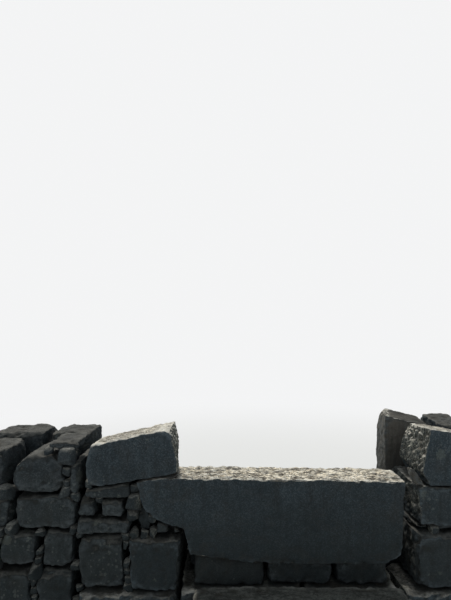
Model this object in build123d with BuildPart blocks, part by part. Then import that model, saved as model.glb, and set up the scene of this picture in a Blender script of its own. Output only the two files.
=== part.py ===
"""Stone wall stile: a rough granite slab on edge across a gap in a drystone wall, with a step on each side.

Millimetres. X runs along the wall, Y through it from the near side to the far side, Z up.
The origin is on the ground, in the middle of the gap and of the wall's thickness.
"""

import os
from math import radians, tan
from random import Random

from build123d import *

# Wall and gap
gap_width = 1000
wall_half = 300
wall_joint = 6
row_joint = 12
footing_proud = 15

# Big slab on edge: its outline runs from the low corner under the left jamb round to the tail
slab_thickness = 180
slab_height = 381
slab_fall = 7
slab_tail = 196
slab_end_joint = 4
slab_right_reach = 16
slab_left_foot = 53
slab_left_lift = 36
slab_right_foot = 60
slab_right_lift = 48
heel_inset = 22
heel_rise = 156
bend_out = 118
bend_rise = 204
shoulder_out = 168
shoulder_rise = 255

# Footing course under the slab, and the base course under that
footing_height = 121
footing_recess = 42
footing_joint = 9
left_footing_length = 330
middle_footing_length = 300
right_footing_length = 245
base_course = 290
left_base_length = 560

# Steps on both sides
step_height = 332
tread_thick = 150
tread_depth = 280
tread_length = 925
tread_shift = 30
riser_inset = 22
riser_setback = 35
riser_offset = 70

# Sill behind the slab
sill_height = 257
sill_clear = 26
left_sill_length = 505

# Heights of the jamb courses
left_lower_height = 245
right_lower_height = 255
right_packing = 35
middle_height = 180
back_lower_height = 260

# Left jamb
left_length = 460
left_lower_length = 249
left_lower_lean = 20
left_lower_heel = 8
left_lower_reach = 22
packer_lengths = (46, 76)
face_bed = 77
face_height = 88
face_length = 125
face_gap = 23
bedding_length = 225
tail_clear = 14
backing_joint = 5
backing_length = 185
top_length = 421
top_slope = 10
top_depth = 240
top_touch = 97
top_height = 198
top_fall = 72
top_reveal = 48
top_back_fall = 20
top_twist = 22
crown_inset = 66
crown_slope_run = 28
crown_slope_fall = 14
top_outer_foot = 44
top_outer_reach = 9
top_outer_rise = 18
top_outer_shoulder = 24
top_outer_drop = 92
left_back_height = 235
left_back_cope_height = 70
left_back_setback = 55
left_cope_inset = 30

# Right jamb
right_length = 480
right_lower_setback = 52
right_lower_lean = 8
right_middle_setback = 56
right_middle_lean = 12
spall_lengths = (80, 140, 120)
wedge_inset = 52
wedge_foot_run = 21
wedge_knee = 25
wedge_reach = 24
wedge_nose = 46
wedge_height = 86
wedge_head_fall = 18
wedge_head = 62
wedge_flank = 20
wedge_flank_height = 40
wedge_depth = 60
right_top_setback = 112
right_top_height = 261
right_top_fall = 36
right_top_depth = 285
right_top_overhang = 33
right_top_belly = 62
right_top_lean = 5
right_top_end_fall = 52
right_top_shoulder_fall = 72
upright_height = 456
upright_setback = 36
upright_length = 262
upright_depth = 215
upright_offset = 52
upright_taper = 9
upright_twist = 24
upright_fall = 0.24
upright_rise = 0.088
upright_brow = (38, 42)
upright_temple = (28, 85)
hearting_height = 205
hearting_setback = 20
right_back_height = 425

# Wings of the wall beyond the jambs
wing_end = 1500
batter = 6
left_courses = (200, 180, 172, 158)
left_bonds = ((310,), (185,), (165, 355), (290,))
left_far_bonds = ((180, 365), (185,), (330,), (290,))
left_leans = (18, -14, 16, -20)
right_courses = (210, 180, 190, 180)
right_bonds = ((190, 370), (325,), (210,), (150,))
right_far_bonds = ((280,), (325,), (170, 345), (150,))
right_leans = (-16, 20, -12, 18)
boulder_offset = 40
boulder_length = 270
boulder_height = 200
boulder_foot = 45
boulder_crown_fall = 4
boulder_crown = 95
boulder_flank = 60
boulder_cheek = 50
pinning_height = 150
flat_stone_length = 150
flat_stone_thickness = 42
flat_stone_overlap = 50
flat_stone_setback = 30
cope_height = 215
left_far_cope_bond = 255
right_cope_bond = 265

# Shares of a stone's least side that its arrises and corners lose
arris_loss = (0.03, 0.08)
corner_loss = (0.08, 0.2)

# Heights and faces that several stones share
half_gap = gap_width / 2
near = -wall_half
far = wall_half
near_back = -row_joint / 2
far_front = row_joint / 2
slab_bottom = base_course + footing_height
slab_top = slab_bottom + slab_height
slab_back = near + slab_thickness
left_lower_top = base_course + left_lower_height
right_lower_top = base_course + right_lower_height
middle_bottom = right_lower_top + right_packing
middle_top = middle_bottom + middle_height
back_lower_top = base_course + back_lower_height
left_outer = -half_gap - left_length
right_outer = half_gap + right_length
left_footing_from = -half_gap + slab_left_foot + footing_joint
left_footing_to = left_footing_from + left_footing_length
heel = (-half_gap + heel_inset, slab_bottom + heel_rise)
bend = (-half_gap - bend_out, slab_bottom + bend_rise)
shoulder = (-half_gap - shoulder_out, slab_bottom + shoulder_rise)


def slab_top_at(x):
    """The slab's top falls a little from left to right."""
    return slab_top - slab_fall * x / half_gap


def slab_foot_at(x):
    """The slab's underside is level, and rises over its left footing stone."""
    run = left_footing_to + half_gap - slab_left_foot
    return slab_bottom + max(0, left_footing_to - x) * slab_left_lift / run


def tail_foot_at(x):
    """Underside of the slab's tail, from its heel out to its bend."""
    return heel[1] + (heel[0] - x) * (bend[1] - heel[1]) / (heel[0] - bend[0])


def top_bed_at(x):
    """The tilted bed of the left top block, which meets the slab's top at one line."""
    touch = -half_gap - top_touch
    return slab_top_at(touch) + (x - touch) * tan(radians(top_slope))


def stand(outline, front, back):
    """Stand an outline of (x, z) points up as a stone, from its front face to its back face."""
    with BuildSketch(Plane.XZ.offset(-back)) as face:
        with BuildLine():
            Polyline(*outline, close=True)
        make_face()
    extrude(face.sketch, amount=back - front)


def chip(point, outward):
    """Knock off what stands beyond a plane through a point."""
    split(bisect_by=Plane(origin=point, z_dir=outward), keep=Keep.BOTTOM)


def hew(low, high, seed, rough=1.0):
    """Knock the corners and the long arrises off the stone in hand, each a little differently."""
    dice = Random(seed)
    reach = min(high[0] - low[0], high[1] - low[1], high[2] - low[2]) * rough
    for side_y, y in ((-1, low[1]), (1, high[1])):
        for side_z, z in ((-1, low[2]), (1, high[2])):
            outward = Vector(0, side_y, side_z * dice.uniform(0.5, 1)).normalized()
            chip(Vector(low[0], y, z) - outward * reach * dice.uniform(*arris_loss), outward)
            for side_x, x in ((-1, low[0]), (1, high[0])):
                tilt_y, tilt_z = dice.uniform(0.5, 1), dice.uniform(0.5, 1)
                outward = Vector(side_x, side_y * tilt_y, side_z * tilt_z).normalized()
                chip(Vector(x, y, z) - outward * reach * dice.uniform(*corner_loss), outward)


def block(low, high, seed, rough=1.0, leans=(0, 0, 0, 0)):
    """A roughly squared stone between two corners. leans draw in its ends, bottom left round to top left."""
    outline = [
        (low[0] + leans[0], low[2]),
        (high[0] - leans[1], low[2]),
        (high[0] - leans[2], high[2]),
        (low[0] + leans[3], high[2]),
    ]
    with BuildPart() as stone:
        stand(outline, low[1], high[1])
        hew(low, high, seed, rough)
    return stone.part


def row_of_stones(outer, side, bonds, lean, front, back, bottom, top, seed):
    """Stones of one row from the jamb to the wing's end. Each bond's joint leans, by half of lean each way."""
    reach = abs(lean) / 2
    starts = [0] + [bond + wall_joint - reach for bond in bonds]
    ends = [bond + reach for bond in bonds] + [wing_end - side * outer]
    for place, (start, end) in enumerate(zip(starts, ends)):
        foot, head = (0, abs(lean)) if lean > 0 else (abs(lean), 0)
        at_start = (head, foot) if place else (0, 0)
        at_end = (foot, head) if place < len(bonds) else (0, 0)
        left, right = (at_start, at_end) if side > 0 else (at_end, at_start)
        low_x, high_x = sorted((outer + side * start, outer + side * end))
        leans = (left[0], right[0], right[1], left[1])
        add(block((low_x, front, bottom), (high_x, back, top), seed + place, 0.7, leans))


def save(piece, name):
    piece.part.label = name
    export_step(piece.part, f"parts/{name}.step")


os.makedirs("parts", exist_ok=True)

# Big slab on edge
tail_end = -half_gap - slab_tail
slab_outline = [
    (-half_gap + slab_left_foot, slab_foot_at(-half_gap + slab_left_foot)),
    (left_footing_to, slab_bottom),
    (half_gap - slab_right_foot, slab_bottom),
    (half_gap, slab_bottom + slab_right_lift),
    (half_gap + slab_right_reach, slab_top_at(half_gap)),
    (-half_gap - top_touch, slab_top_at(-half_gap - top_touch)),
    (tail_end, top_bed_at(tail_end)),
    shoulder,
    bend,
    heel,
]
with BuildPart() as stile_slab:
    stand(slab_outline, near, slab_back)
save(stile_slab, "stile_slab")

# Footing course: three stones set back under the slab
middle_footing_from = left_footing_to + footing_joint
right_footing_from = middle_footing_from + middle_footing_length + footing_joint
footing_front = near + footing_recess
with BuildPart() as slab_footings:
    stand(
        [
            (left_footing_from, base_course),
            (left_footing_to, base_course),
            (left_footing_to, slab_bottom),
            (left_footing_from, slab_foot_at(left_footing_from)),
        ],
        footing_front,
        slab_back,
    )
    for seed, start, length in (
        (21, middle_footing_from, middle_footing_length),
        (22, right_footing_from, right_footing_length),
    ):
        add(block((start, footing_front, base_course), (start + length, slab_back, slab_bottom), seed, 0.6))
save(slab_footings, "slab_footings")

# Base course through the wall's thickness, which carries the footings and the sill
base_split = -half_gap + left_base_length
with BuildPart() as threshold_base:
    add(block((-half_gap, near, 0), (base_split, far, base_course), 31, 0.25))
    add(block((base_split + wall_joint, near, 0), (half_gap, far, base_course), 32, 0.25))
save(threshold_base, "threshold_base")

# Sill stones that fill the gap behind the slab
sill_from = -half_gap + sill_clear
sill_to = half_gap - sill_clear
sill_split = sill_from + left_sill_length
sill_top = base_course + sill_height
with BuildPart() as rear_sill:
    for seed, start, end in ((41, sill_from, sill_split), (42, sill_split + wall_joint, sill_to)):
        low = (start, slab_back + backing_joint, base_course)
        add(block(low, (end, far - footing_proud, sill_top), seed, 0.4))
save(rear_sill, "rear_sill")

# A step on each side: a tread on two risers
tread_from = tread_shift - tread_length / 2
tread_to = tread_shift + tread_length / 2
for side, name in ((-1, "near_step"), (1, "far_step")):
    wall_line = side * wall_half
    nose = side * (wall_half + tread_depth)
    riser_face = nose - side * riser_setback
    front, back = sorted((wall_line, nose))
    with BuildPart() as tread:
        tread_bottom = step_height - tread_thick
        add(block((tread_from, front, tread_bottom), (tread_to, back, step_height), 50 + side, 0.5))
    save(tread, f"{name}_tread")
    front, back = sorted((wall_line, riser_face))
    with BuildPart() as risers:
        joint = tread_shift + side * riser_offset
        add(block((tread_from + riser_inset, front, 0), (joint, back, tread_bottom), 52 + side, 0.5))
        low = (joint + row_joint, front, 0)
        add(block(low, (tread_to - riser_inset, back, tread_bottom), 55 + side, 0.5))
    save(risers, f"{name}_risers")

# Left jamb, from the ground up
proud_near = near - footing_proud
lower_inner = -half_gap + left_lower_reach
lower_outer = lower_inner - left_lower_length
column_inner = tail_end - tail_clear
bedding_outer = column_inner - bedding_length
with BuildPart() as left_base_block:
    add(block((left_outer, proud_near, 0), (-half_gap, near_back, base_course), 61, 0.5))
save(left_base_block, "left_base_block")

with BuildPart() as left_lower_block:
    leans = (left_lower_heel, left_lower_lean, 0, 0)
    low, high = (lower_outer, proud_near, base_course), (lower_inner, near_back, left_lower_top)
    add(block(low, high, 62, 0.4, leans))
save(left_lower_block, "left_lower_block")

with BuildPart() as left_lower_facing:
    low, high = (left_outer, near, base_course), (lower_outer - wall_joint, near_back, left_lower_top)
    add(block(low, high, 63, 0.8))
save(left_lower_facing, "left_lower_facing")

# Packing stones between the lower block and the underside of the slab's tail
with BuildPart() as left_packing_stones:
    end = heel[0] - wall_joint
    for length in packer_lengths:
        start = end - length
        stand(
            [
                (start, left_lower_top),
                (end, left_lower_top),
                (end, tail_foot_at(end)),
                (start, tail_foot_at(start)),
            ],
            near + wall_joint,
            slab_back,
        )
        end = start - wall_joint
    stand(
        [(tail_end, left_lower_top), (bend[0], left_lower_top), bend, shoulder, (tail_end, shoulder[1])],
        near + footing_recess,
        slab_back,
    )
save(left_packing_stones, "left_packing_stones")

with BuildPart() as left_tail_backing:
    start, end = tail_end, tail_end + backing_length
    stand(
        [(start, left_lower_top), (end, left_lower_top), (end, top_bed_at(end)), (start, top_bed_at(start))],
        slab_back + backing_joint,
        near_back,
    )
save(left_tail_backing, "left_tail_backing")

# Small face stones beside the slab's tail
face_top = left_lower_top + face_bed + face_height
with BuildPart() as left_face_bed:
    low, high = (left_outer, near, left_lower_top), (column_inner, near_back, left_lower_top + face_bed)
    add(block(low, high, 64, 0.8))
save(left_face_bed, "left_face_bed")

with BuildPart() as left_face_stones:
    end = column_inner - face_gap
    low = (end - face_length, near - wall_joint, left_lower_top + face_bed)
    add(block(low, (end, near_back, face_top), 65, 1.0))
    low = (left_outer, near, left_lower_top + face_bed)
    add(block(low, (end - face_length - wall_joint, near_back, face_top), 66, 0.9))
save(left_face_stones, "left_face_stones")

with BuildPart() as left_bedding_stone:
    start, end = bedding_outer, column_inner
    stand(
        [(start, face_top), (end, face_top), (end, top_bed_at(end)), (start, top_bed_at(start))],
        near,
        near_back,
    )
save(left_bedding_stone, "left_bedding_stone")

# Big block on top of the left jamb, laid askew on the slab's tail
top_inner = -half_gap + slab_end_joint
top_outer = top_inner - top_length
block_crown = top_bed_at(top_inner) + top_height
top_foot = top_outer + top_outer_foot
top_reach = top_outer + top_outer_reach
top_outline = [
    (top_foot, top_bed_at(top_foot)),
    (top_inner, top_bed_at(top_inner)),
    (top_inner, top_bed_at(top_inner) + top_reveal),
    (top_inner - crown_inset + crown_slope_run, block_crown - crown_slope_fall),
    (top_inner - crown_inset, block_crown),
    (top_outer + top_outer_shoulder, block_crown - top_fall),
    (top_outer, block_crown - top_fall - top_outer_drop),
    (top_reach, top_bed_at(top_reach) + top_outer_rise),
]
with BuildPart() as left_top_block:
    stand(top_outline, near, near + top_depth)
    crown_run = top_length - crown_inset - top_outer_shoulder
    chip((top_inner - crown_inset, near, block_crown), (-top_fall / crown_run, top_back_fall / top_depth, 1))
    chip((top_inner, near, block_crown), (1, top_twist / top_depth, 0))
    chip((top_outer, near + top_outer_shoulder, block_crown - top_fall), (-0.5, -1, 0.6))
save(left_top_block, "left_top_block")

# Far side of the left jamb
back_inner = -half_gap - left_back_setback
with BuildPart() as left_back_base:
    add(block((left_outer, far_front, 0), (-half_gap, far + footing_proud, base_course), 71, 0.5))
save(left_back_base, "left_back_base")

with BuildPart() as left_back_lower:
    low, high = (left_outer, far_front, base_course), (sill_from - wall_joint, far, back_lower_top)
    add(block(low, high, 72, 0.6))
save(left_back_lower, "left_back_lower")

back_block_top = back_lower_top + left_back_height
with BuildPart() as left_back_block:
    add(block((left_outer, far_front, back_lower_top), (back_inner, far - batter, back_block_top), 73, 0.6))
save(left_back_block, "left_back_block")

with BuildPart() as left_back_cope:
    low = (left_outer + left_cope_inset, far_front, back_block_top)
    high = (back_inner - left_cope_inset / 2, far - 2 * batter, back_block_top + left_back_cope_height)
    add(block(low, high, 74, 0.8))
save(left_back_cope, "left_back_cope")

# Right jamb, from the ground up
right_inner = half_gap + slab_end_joint
with BuildPart() as right_base_block:
    add(block((half_gap, proud_near, 0), (right_outer, near_back, base_course), 81, 0.5))
save(right_base_block, "right_base_block")

with BuildPart() as right_lower_block:
    low, high = (half_gap + right_lower_setback, near, base_course), (right_outer, near_back, right_lower_top)
    add(block(low, high, 82, 0.5, (right_lower_lean, 0, 0, 0)))
save(right_lower_block, "right_lower_block")

# Spalls that pack the wide bed over the lower block
with BuildPart() as right_packing_stones:
    start = half_gap + right_lower_setback + footing_joint
    for seed, length in enumerate(spall_lengths, 83):
        low, high = (start, near + riser_setback, right_lower_top), (start + length, near_back, middle_bottom)
        add(block(low, high, seed, 0.8))
        start += length + footing_joint
save(right_packing_stones, "right_packing_stones")

with BuildPart() as right_middle_block:
    low = (right_inner + right_middle_setback, near, middle_bottom)
    add(block(low, (right_outer, near_back, middle_top), 86, 0.4, (right_middle_lean, 0, 0, 0)))
save(right_middle_block, "right_middle_block")

right_top_foot = half_gap + right_top_setback
with BuildPart() as right_wedge_stone:
    stand(
        [
            (right_inner + wedge_inset, middle_top),
            (right_top_foot - wall_joint, middle_top),
            (right_top_foot - wall_joint - wedge_flank, middle_top + wedge_flank_height),
            (right_inner + wedge_head, middle_top + wedge_height - wedge_head_fall),
            (right_inner + wedge_reach + wall_joint, middle_top + wedge_height),
            (right_inner + wedge_reach, middle_top + wedge_nose),
            (right_inner + wedge_inset - wedge_foot_run, middle_top + wedge_knee),
        ],
        near - wall_joint,
        near + wedge_depth,
    )
save(right_wedge_stone, "right_wedge_stone")

right_top_end = right_outer - wall_joint
right_crown = middle_top + right_top_height
with BuildPart() as right_top_block:
    stand(
        [
            (right_top_foot, middle_top),
            (right_top_end, middle_top),
            (right_top_end, right_crown - right_top_end_fall),
            (right_top_foot + right_top_lean, right_crown),
            (right_top_foot - right_top_overhang, middle_top + right_top_belly),
        ],
        near,
        near + right_top_depth,
    )
    crown_from = right_top_foot + right_top_lean
    crown_slope = right_top_end_fall / (right_top_end - crown_from)
    chip((crown_from, near, right_crown), (crown_slope, right_top_fall / right_top_depth, 1))
    right_top_back = near + right_top_depth
    chip((crown_from, right_top_back, right_crown - right_top_shoulder_fall), (-1.8, 0.35, 1))
    chip((right_top_end, near, right_crown - right_top_end_fall - right_top_belly), (0.3, -1, 0.7))
save(right_top_block, "right_top_block")

# Far side of the right jamb, with an upright stone set on end
with BuildPart() as right_back_base:
    add(block((half_gap, far_front, 0), (right_outer, far + footing_proud, base_course), 91, 0.5))
save(right_back_base, "right_back_base")

with BuildPart() as right_back_lower:
    low, high = (sill_to + wall_joint, far_front, base_course), (right_outer, far, back_lower_top)
    add(block(low, high, 92, 0.5))
save(right_back_lower, "right_back_lower")

upright_inner = half_gap + upright_setback
upright_top = back_lower_top + upright_height
upright_back = upright_offset + upright_depth
with BuildPart() as right_back_upright:
    highest = upright_top + upright_rise * upright_depth
    stand(
        [
            (upright_inner, back_lower_top),
            (upright_inner + upright_length, back_lower_top),
            (upright_inner + upright_length - upright_taper, highest),
            (upright_inner, highest),
        ],
        upright_offset,
        upright_back,
    )
    chip((upright_inner, upright_offset, upright_top), (upright_fall, -upright_rise, 1))
    chip((upright_inner, upright_offset, upright_top), (-1, upright_twist / upright_depth, 0))
    chip((upright_inner + upright_brow[0], upright_back, upright_top - upright_brow[1]), (-1.2, 0.45, 1))
    chip((upright_inner + upright_temple[0], upright_back, upright_top - upright_temple[1]), (-4, 1, 1))
save(right_back_upright, "right_back_upright")

with BuildPart() as right_hearting:
    low = (upright_inner + hearting_setback, near + right_top_depth + row_joint, back_lower_top)
    high = (upright_inner + upright_length, upright_offset - wall_joint, back_lower_top + hearting_height)
    add(block(low, high, 93, 0.8))
save(right_hearting, "right_hearting")

with BuildPart() as right_back_block:
    low = (upright_inner + upright_length + wall_joint, far_front, back_lower_top)
    add(block(low, (right_outer, far - batter, back_lower_top + right_back_height), 94, 0.6))
save(right_back_block, "right_back_block")

# Wings: courses of a near and a far row of stones, with a through stone in every other course
for side, outer, courses, near_bonds, far_bonds, leans, word in (
    (-1, left_outer, left_courses, left_bonds, left_far_bonds, left_leans, "left"),
    (1, right_outer, right_courses, right_bonds, right_far_bonds, right_leans, "right"),
):
    bottom = 0
    for level, height in enumerate(courses):
        face = wall_half - batter * level
        top = bottom + height
        lean = leans[level]
        seed = 100 * (2 + side) + 10 * level
        with BuildPart() as course:
            if level % 2 == 0:
                row_of_stones(outer, side, near_bonds[level], lean, -face, near_back, bottom, top, seed)
                row_of_stones(outer, side, far_bonds[level], -lean, far_front, face, bottom, top, seed + 4)
            else:
                bond = near_bonds[level][0]
                for front, back, turn in ((-face, near_back, 0), (far_front, face, 2)):
                    left, right = sorted((outer, outer + side * bond))
                    add(block((left, front, bottom), (right, back, top), seed + turn, 0.7))
                left, right = sorted((outer + side * (bond + wall_joint), side * wing_end))
                add(block((left, -face, bottom), (right, face, top), seed + 1, 0.7))
        save(course, f"{word}_wing_course_{level + 1}")
        bottom = top

# Top of the left wing: a boulder, small pinning stones, a flat stone across them, and cope stones
left_wing_top = sum(left_courses)
boulder_to = left_outer - boulder_offset
boulder_from = boulder_to - boulder_length
boulder_top = left_wing_top + boulder_height
with BuildPart() as left_boulder:
    stand(
        [
            (boulder_from + boulder_foot, left_wing_top),
            (boulder_to - boulder_foot, left_wing_top),
            (boulder_to, left_wing_top + boulder_flank),
            (boulder_to - wall_joint, boulder_top - boulder_cheek),
            (boulder_to - boulder_flank, boulder_top),
            (boulder_from + boulder_crown, boulder_top - boulder_crown_fall),
            (boulder_from + boulder_foot / 2, boulder_top - boulder_cheek),
            (boulder_from, left_wing_top + boulder_flank),
        ],
        near + batter,
        near_back,
    )
    hew((boulder_from, near + batter, left_wing_top), (boulder_to, near_back, boulder_top), 131, 1.1)
save(left_boulder, "left_boulder")

with BuildPart() as left_pinning_stones:
    low = (boulder_to + wall_joint, near + batter, left_wing_top)
    pinned_to = min(bedding_outer, top_outer) - wall_joint
    add(block(low, (pinned_to, near_back, left_wing_top + pinning_height), 132, 0.9))
save(left_pinning_stones, "left_pinning_stones")

with BuildPart() as left_flat_stone:
    end = boulder_to + flat_stone_overlap
    low = (end - flat_stone_length, near + flat_stone_setback, boulder_top)
    add(block(low, (end, near_back - flat_stone_setback, boulder_top + flat_stone_thickness), 133, 1.0))
save(left_flat_stone, "left_flat_stone")

with BuildPart() as left_cope_stones:
    low = (-wing_end, near + batter, left_wing_top)
    add(block(low, (boulder_from - wall_joint, near_back, left_wing_top + cope_height), 141, 0.8))
    split_at = left_outer - left_far_cope_bond
    low = (split_at + wall_joint, far_front, left_wing_top)
    add(block(low, (left_outer - wall_joint, far - 4 * batter, left_wing_top + cope_height), 142, 0.8))
    low = (-wing_end, far_front, left_wing_top)
    add(block(low, (split_at, far - 4 * batter, left_wing_top + cope_height), 143, 0.8))
save(left_cope_stones, "left_cope_stones")

# Top of the right wing
right_wing_top = sum(right_courses)
with BuildPart() as right_cope_stones:
    split_at = right_outer + right_cope_bond
    for seed, front, back in ((151, near + batter, near_back), (154, far_front, far - 4 * batter)):
        low = (right_outer + wall_joint, front, right_wing_top)
        add(block(low, (split_at, back, right_wing_top + cope_height), seed, 0.8))
        low = (split_at + wall_joint, front, right_wing_top)
        add(block(low, (wing_end, back, right_wing_top + cope_height), seed + 1, 0.8))
save(right_cope_stones, "right_cope_stones")
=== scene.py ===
# %% [markdown]
# Stone wall stile, dressed for looks.
# The frame holds every stone of the stile as a plain flat-sided solid in its true place.
# This lesson turns each of them into weathered granite: first the shape, then the small stones
# in the joints, then the finish. Every new mesh is worked out with numpy as whole arrays.

# %% Load the frame
import math

import bpy
import numpy as np
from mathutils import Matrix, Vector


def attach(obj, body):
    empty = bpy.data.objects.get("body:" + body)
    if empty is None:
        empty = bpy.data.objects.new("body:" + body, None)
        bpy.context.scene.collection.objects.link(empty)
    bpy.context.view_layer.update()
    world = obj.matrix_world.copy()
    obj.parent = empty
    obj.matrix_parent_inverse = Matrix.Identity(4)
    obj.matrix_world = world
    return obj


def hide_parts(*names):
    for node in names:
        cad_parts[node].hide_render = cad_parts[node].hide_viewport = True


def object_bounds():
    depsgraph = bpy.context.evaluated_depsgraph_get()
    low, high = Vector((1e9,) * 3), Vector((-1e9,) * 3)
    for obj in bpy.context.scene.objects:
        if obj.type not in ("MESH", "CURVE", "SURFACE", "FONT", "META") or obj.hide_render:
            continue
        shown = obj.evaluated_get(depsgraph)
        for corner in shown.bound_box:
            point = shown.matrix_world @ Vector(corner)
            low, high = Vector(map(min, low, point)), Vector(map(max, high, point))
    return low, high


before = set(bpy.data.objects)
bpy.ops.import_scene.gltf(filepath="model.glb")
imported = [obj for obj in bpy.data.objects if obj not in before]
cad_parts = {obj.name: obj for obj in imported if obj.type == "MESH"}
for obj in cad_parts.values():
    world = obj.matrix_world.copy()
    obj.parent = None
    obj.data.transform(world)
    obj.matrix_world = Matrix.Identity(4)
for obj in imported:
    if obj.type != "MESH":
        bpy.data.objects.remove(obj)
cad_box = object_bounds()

print("nodes in the frame:", len(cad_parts), "box:", cad_box)

# %% [markdown]
# The camera comes first, so that every later step can be judged from it.
# The walker who sees this stile stands about two metres off, with eyes 1.5 m above the ground,
# a little left of the gap's middle. The view runs level, straight through the wall. A small upward
# shift of the lens puts the horizon below the middle of the frame, as cropping a picture does.

# %% Camera
FRAME_WIDTH_PX = 451
FRAME_HEIGHT_PX = 600
FOCAL_PX = 451
HORIZON_PX = 320
SENSOR_MM = 36
EYE = (-0.29, -2.30, 1.50)

camera_data = bpy.data.cameras.new("walker_eye")
camera_data.sensor_fit = "HORIZONTAL"
camera_data.sensor_width = SENSOR_MM
camera_data.lens = SENSOR_MM * FOCAL_PX / FRAME_WIDTH_PX
camera = bpy.data.objects.new("walker_eye", camera_data)
camera_data.shift_y = (HORIZON_PX - FRAME_HEIGHT_PX / 2) / FRAME_WIDTH_PX
camera.location = EYE
camera.rotation_euler = (math.pi / 2, 0, 0)
bpy.context.scene.collection.objects.link(camera)
bpy.context.scene.camera = camera
print("camera lens", round(camera_data.lens, 2), "mm, shift", round(camera_data.shift_y, 4))

# %% [markdown]
# A weathered stone is a flat-sided block whose arrises have gone. One way to blunt it is a bevel
# modifier, but that gives every arris the same tidy curve. Here the block is read as a set of
# planes instead. A smooth maximum of the distances to the planes is nearly zero on the faces and
# rounds them together where they meet, and it works on any number of extra chip planes.

# %% Read the corners of a mesh and tell its solids apart
SAME_PLACE_DIGITS = 5


def welded(mesh):
    """The corners of a mesh, those in one place counted once, and its triangles as corner numbers."""
    points = np.zeros(len(mesh.vertices) * 3)
    mesh.vertices.foreach_get("co", points)
    mesh.calc_loop_triangles()
    triangles = np.zeros(len(mesh.loop_triangles) * 3, int)
    mesh.loop_triangles.foreach_get("vertices", triangles)
    points = np.round(points.reshape(-1, 3), SAME_PLACE_DIGITS)
    corners, same = np.unique(points, axis=0, return_inverse=True)
    return corners, same.reshape(-1)[triangles].reshape(-1, 3)


def solid_labels(triangles, count):
    """A label for each corner. Triangles that share a corner belong to one solid, so the lowest label in a
    triangle is handed to its corners until none changes."""
    label = np.arange(count)
    for _ in range(count):
        joined = label.copy()
        np.minimum.at(joined, triangles.reshape(-1), np.repeat(label[triangles].min(1), 3))
        if (joined == label).all():
            break
        label = joined
    return label


# %% Read the planes of each solid in a node
PLANE_TURN = 0.9995
PLANE_STEP = 0.0004
NOTCH_DEPTH = 0.012
SMALLEST_AREA = 1e-9


def planes_of(corners, triangles):
    """The planes of the triangles, each once, as unit normals n and distances d, with n . p = d on a plane."""
    a, b, c = (corners[triangles[:, k]] for k in range(3))
    normal = np.cross(b - a, c - a)
    area = np.linalg.norm(normal, axis=1)
    keep = area > SMALLEST_AREA
    normal, first = normal[keep] / area[keep, None], a[keep]
    planes = []
    for n, d in zip(normal, (normal * first).sum(1)):
        if not any(n @ m > PLANE_TURN and abs(d - e) < PLANE_STEP for m, e in planes):
            planes.append((n, d))
    return np.array([n for n, _ in planes]), np.array([d for _, d in planes])


def solids_of(node):
    """The separate solids of a CAD node, each as its corners, the planes that bound it, and its inner planes:
    those with corners beyond them, which belong to a notch."""
    corners, triangles = welded(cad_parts[node].data)
    label = solid_labels(triangles, len(corners))[triangles[:, 0]]
    found = []
    for one in np.unique(label):
        own = triangles[label == one]
        own_corners = corners[np.unique(own)]
        normals, distances = planes_of(corners, own)
        beyond = (own_corners @ normals.T - distances).max(0) > NOTCH_DEPTH
        found.append({"corners": own_corners, "normals": normals, "distances": distances, "inner": beyond})
    return found


stones = {node: solids_of(node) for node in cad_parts}
print("solids:", sum(len(found) for found in stones.values()))

# %% [markdown]
# Rock is rough at every scale, and noise added up in octaves gives that: each octave has half the
# size and about half the height of the one before. The noise is worked out from a whole number at
# each corner of a cube lattice, mixed into what looks like chance, so it never changes between runs.

# %% Fractal noise
OCTAVE_SEED = 101


def lattice_value(cell, seed):
    """A number between -1 and 1 for each whole-number cell: its three counts are multiplied and mixed."""
    mixed = (cell[..., 0] * 73856093) ^ (cell[..., 1] * 19349663) ^ (cell[..., 2] * 83492791) ^ (seed * 2654435)
    mixed = mixed.astype(np.uint32)
    for shift, factor in ((16, 0x7FEB352D), (15, 0x846CA68B), (16, 1)):
        mixed = (mixed ^ (mixed >> np.uint32(shift))) * np.uint32(factor)
    return mixed / 2147483647.5 - 1


def noise(points, size, seed):
    """Smooth noise whose waves are about size long: lattice values blended with 6t^5 - 15t^4 + 10t^3."""
    place = points / size
    cell = np.floor(place).astype(np.int64)
    t = place - cell
    t = t * t * t * (t * (t * 6 - 15) + 10)
    total = 0
    for step in np.ndindex(2, 2, 2):
        weight = np.prod(np.where(np.array(step), t, 1 - t), axis=1)
        total = total + weight * lattice_value(cell + np.array(step), seed)
    return total


def fractal(points, size, octaves, seed):
    """Octaves of noise, each half as long and half as high as the last."""
    total = 0
    for octave in range(octaves):
        total = total + noise(points, size / 2**octave, seed + OCTAVE_SEED * octave) / 2**octave
    return total


# %% [markdown]
# A split face isn't wavy, though. It is made of small flats that meet at sharp steps. Noise made of
# cells gives that: each cell is a flat with its own tilt and height.

# %% Broken rock
CELL_BLEND = 0.07
CELL_LIFT = 0.45


def broken(points, size, seed, soft=CELL_BLEND):
    """Relief of broken rock. Space is split into cells about size long, each round its own chance centre c
    with a chance tilt t and height h, and a point near c is at h + t . (p - c). Neighbouring cells blend
    over soft times the size."""
    place = points / size
    cell = np.floor(place).astype(np.int64)
    gaps, heights = [], []
    for step in np.ndindex(3, 3, 3):
        near = cell + np.array(step) - 1
        chance = [lattice_value(near, seed + k) for k in range(7)]
        arm = place - near - 0.5 - 0.5 * np.stack(chance[:3], -1)
        gaps.append(np.sqrt((arm**2).sum(1)))
        heights.append(CELL_LIFT * chance[6] + (arm * np.stack(chance[3:6], -1)).sum(1))
    gaps, heights = np.stack(gaps), np.stack(heights)
    share = np.exp((gaps.min(0) - gaps) / soft)
    return (share * heights).sum(0) / share.sum(0)


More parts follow.
